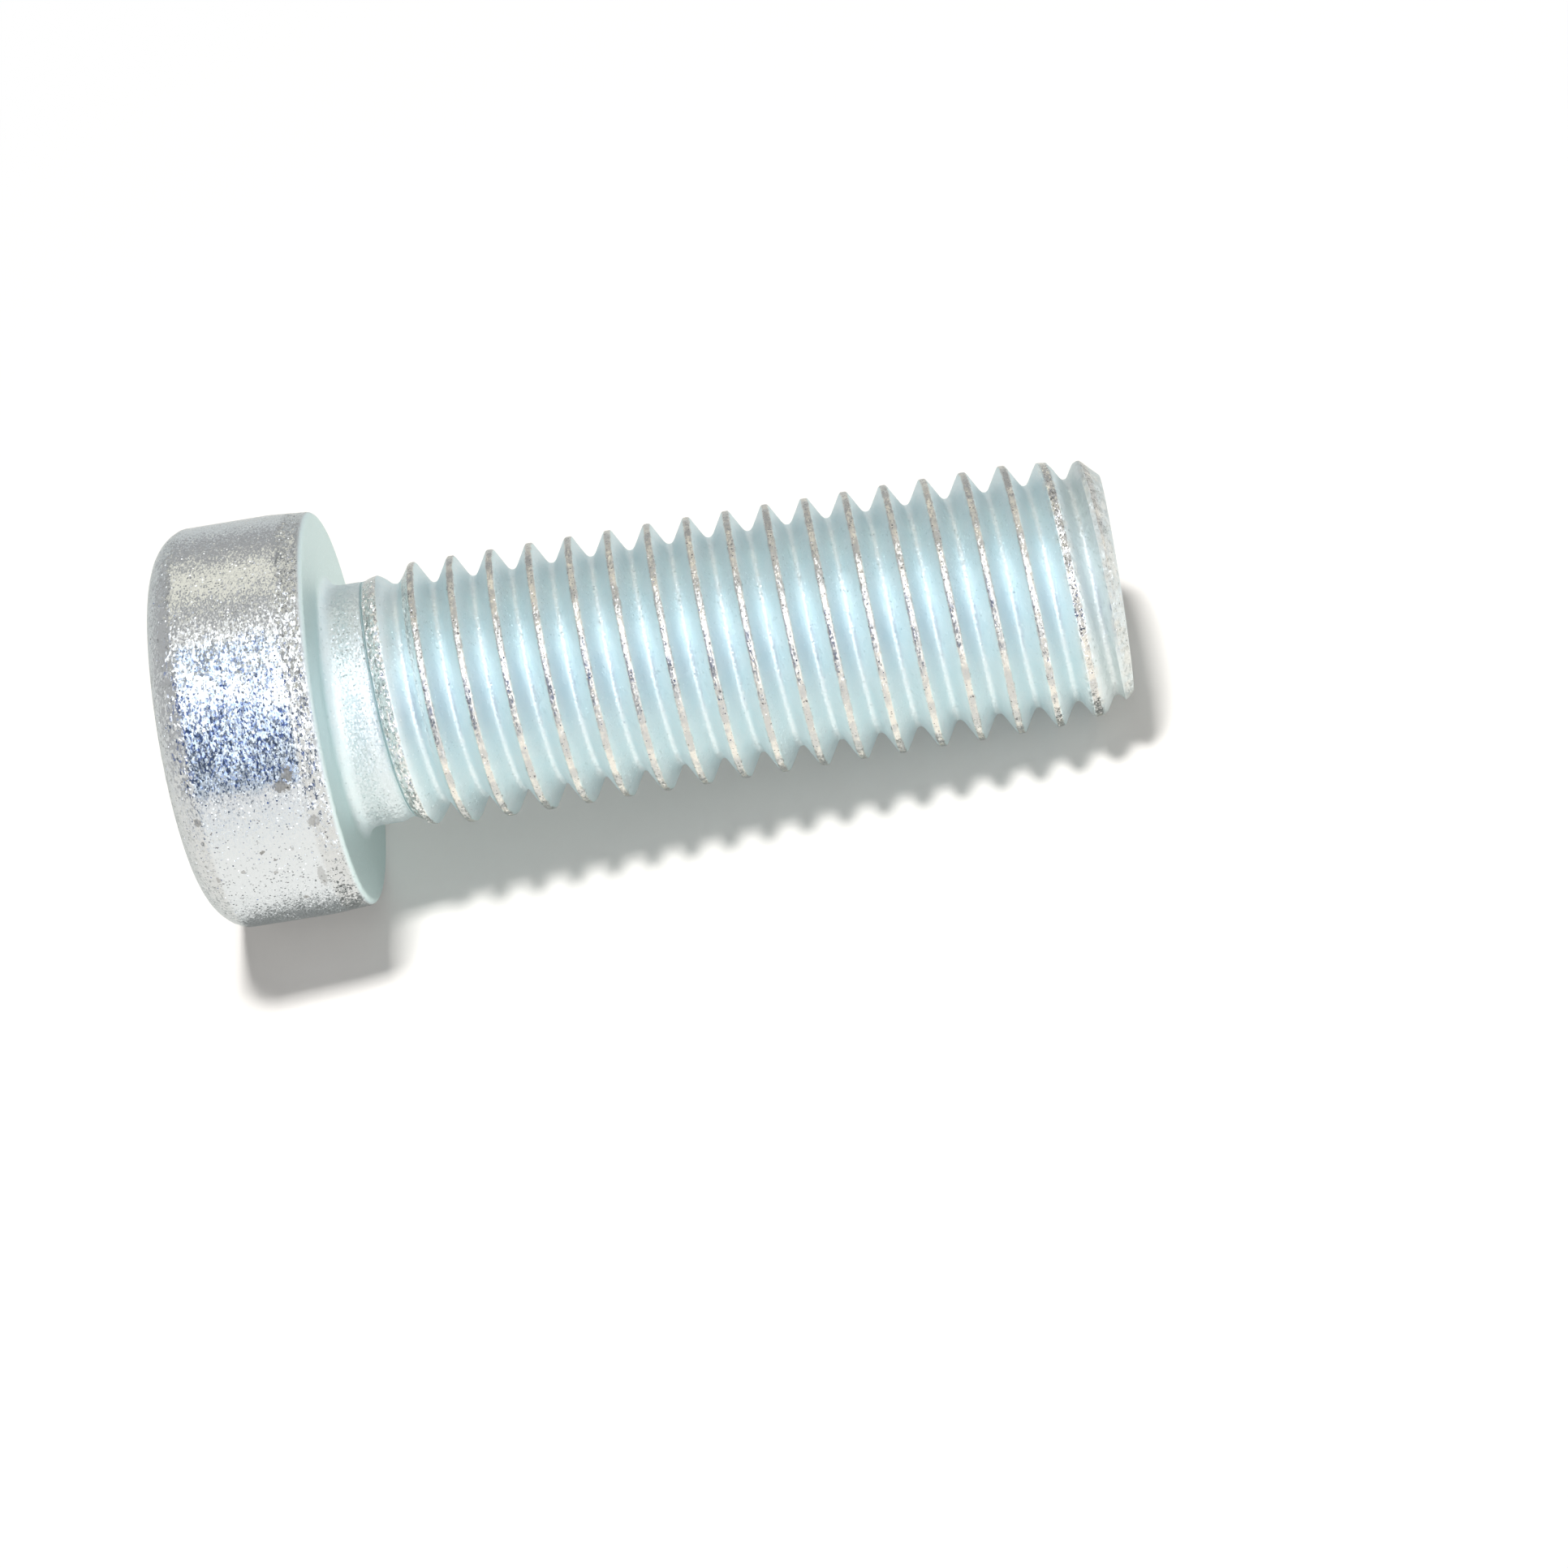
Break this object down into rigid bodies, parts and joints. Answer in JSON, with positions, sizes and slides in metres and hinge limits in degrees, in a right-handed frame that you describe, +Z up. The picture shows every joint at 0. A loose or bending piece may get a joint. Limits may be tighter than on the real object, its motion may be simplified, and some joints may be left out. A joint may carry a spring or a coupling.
{
  "type": "hex socket cap screw",
  "caption": "Low-head hex socket cap screw with a coarse right-hand thread up to a short plain neck, a chamfered head and a chamfered end, in zinc-plated steel.",
  "frame": {"origin": "on the surface the screw lies on, below the middle of its outline", "axes": "+Z up from that surface, +X from the thread end towards the head. The screw lies on its head rim and its last thread crest, so its own axis drops 5.4 degrees from the head to the end, in the XZ plane"},
  "size_m": [0.0424, 0.0178, 0.0181],
  "materials": {
    "zinc_plated_steel": "bright zinc plating, blue passivated, fine-grained on the head and smooth on the thread"
  },
  "bodies": {
    "root": {"cap_screw": "zinc_plated_steel"}
  },
  "joints": []
}
